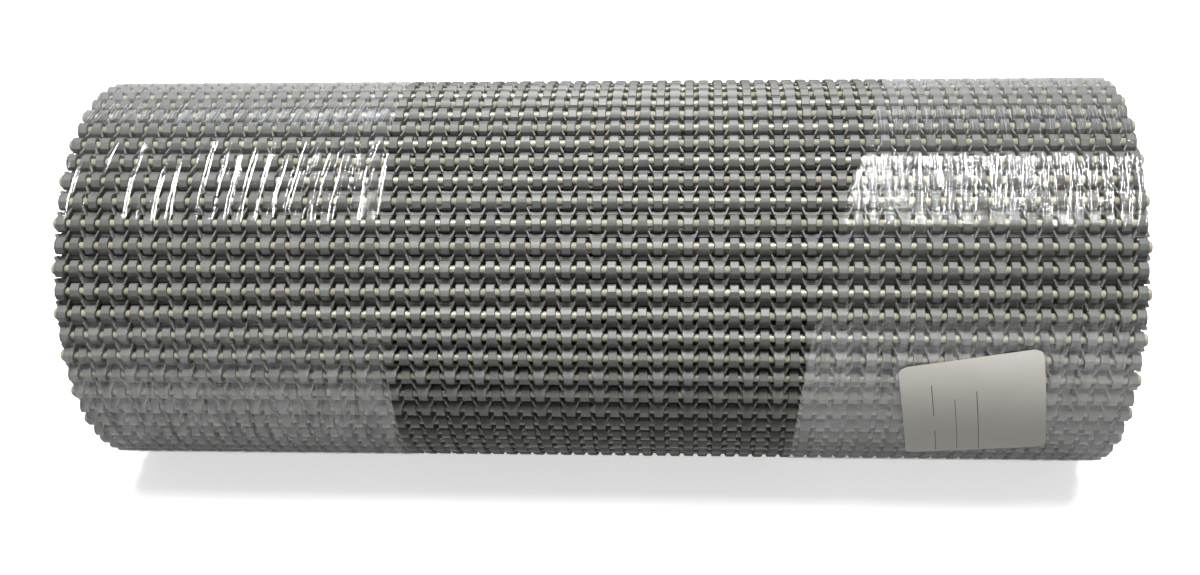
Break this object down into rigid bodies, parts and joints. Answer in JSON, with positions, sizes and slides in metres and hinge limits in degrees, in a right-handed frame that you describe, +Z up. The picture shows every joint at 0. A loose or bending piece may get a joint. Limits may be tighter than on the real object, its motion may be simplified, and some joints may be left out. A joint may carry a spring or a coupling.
{
  "type": "modular plastic belt",
  "caption": "Rolled modular plastic conveyor belt of bricklaid hinge modules on plastic rods, with stretch film bands and a bare label.",
  "frame": {"origin": "on the floor under the middle of the roll", "axes": "+X along the roll's axis and the hinge rods, +Y to the back where the outer tail lies, +Z up"},
  "size_m": [0.6022, 0.23, 0.2304],
  "materials": {
    "belt_plastic": "fine satin",
    "rod_plastic": "satin",
    "stretch_film": "clear gloss",
    "label_paper": "matt paper"
  },
  "bodies": {
    "coil": {"outer_a_left_edge": "belt_plastic", "outer_a_left_full": "belt_plastic", "outer_a_right_full": "belt_plastic", "outer_a_right_edge": "belt_plastic", "outer_b_left_edge": "belt_plastic", "outer_b_left_full": "belt_plastic", "outer_b_right_full": "belt_plastic", "outer_b_right_edge": "belt_plastic", "second_turn_modules": "belt_plastic", "third_turn_modules": "belt_plastic", "fourth_turn_modules": "belt_plastic", "inner_turn_modules": "belt_plastic", "outer_turn_rods": "rod_plastic", "second_turn_rods": "rod_plastic", "third_turn_rods": "rod_plastic", "fourth_turn_rods": "rod_plastic", "inner_turn_rods": "rod_plastic", "film_left": "stretch_film", "film_right": "stretch_film", "label": "label_paper"},
    "tail_1": {"free_row_1": "belt_plastic", "free_rod_1": "rod_plastic"},
    "tail_2": {"free_row_2": "belt_plastic", "free_rod_2": "rod_plastic"},
    "tail_3": {"free_row_3": "belt_plastic", "free_rod_3": "rod_plastic"},
    "tail_4": {"free_row_4": "belt_plastic", "free_rod_4": "rod_plastic"},
    "tail_5": {"free_row_5": "belt_plastic", "free_rod_5": "rod_plastic"},
    "tail_6": {"free_row_6": "belt_plastic", "free_rod_6": "rod_plastic"},
    "tail_7": {"free_row_7": "belt_plastic", "free_rod_7": "rod_plastic"},
    "tail_8": {"free_row_8": "belt_plastic", "free_rod_8": "rod_plastic"}
  },
  "joints": [
    {"name": "tail_hinge_1", "type": "hinge", "parent": "coil", "child": "tail_1", "pos_m": [0, 0.04929, 0.06529], "axis": [-1, 0, 0], "range_deg": [0, 18]},
    {"name": "tail_hinge_2", "type": "hinge", "parent": "tail_1", "child": "tail_2", "pos_m": [0, 0.03907, 0.05776], "axis": [-1, 0, 0], "range_deg": [0, 18]},
    {"name": "tail_hinge_3", "type": "hinge", "parent": "tail_2", "child": "tail_3", "pos_m": [0, 0.02763, 0.05224], "axis": [-1, 0, 0], "range_deg": [0, 18]},
    {"name": "tail_hinge_4", "type": "hinge", "parent": "tail_3", "child": "tail_4", "pos_m": [0, 0.01501, 0.05085], "axis": [-1, 0, 0], "range_deg": [0, 18]},
    {"name": "tail_hinge_5", "type": "hinge", "parent": "tail_4", "child": "tail_5", "pos_m": [0, 0.00231, 0.05085], "axis": [-1, 0, 0], "range_deg": [0, 18]},
    {"name": "tail_hinge_6", "type": "hinge", "parent": "tail_5", "child": "tail_6", "pos_m": [0, -0.01039, 0.05085], "axis": [-1, 0, 0], "range_deg": [0, 18]},
    {"name": "tail_hinge_7", "type": "hinge", "parent": "tail_6", "child": "tail_7", "pos_m": [0, -0.02284, 0.05339], "axis": [-1, 0, 0], "range_deg": [0, 18]},
    {"name": "tail_hinge_8", "type": "hinge", "parent": "tail_7", "child": "tail_8", "pos_m": [0, -0.03398, 0.05948], "axis": [-1, 0, 0], "range_deg": [0, 18]}
  ]
}
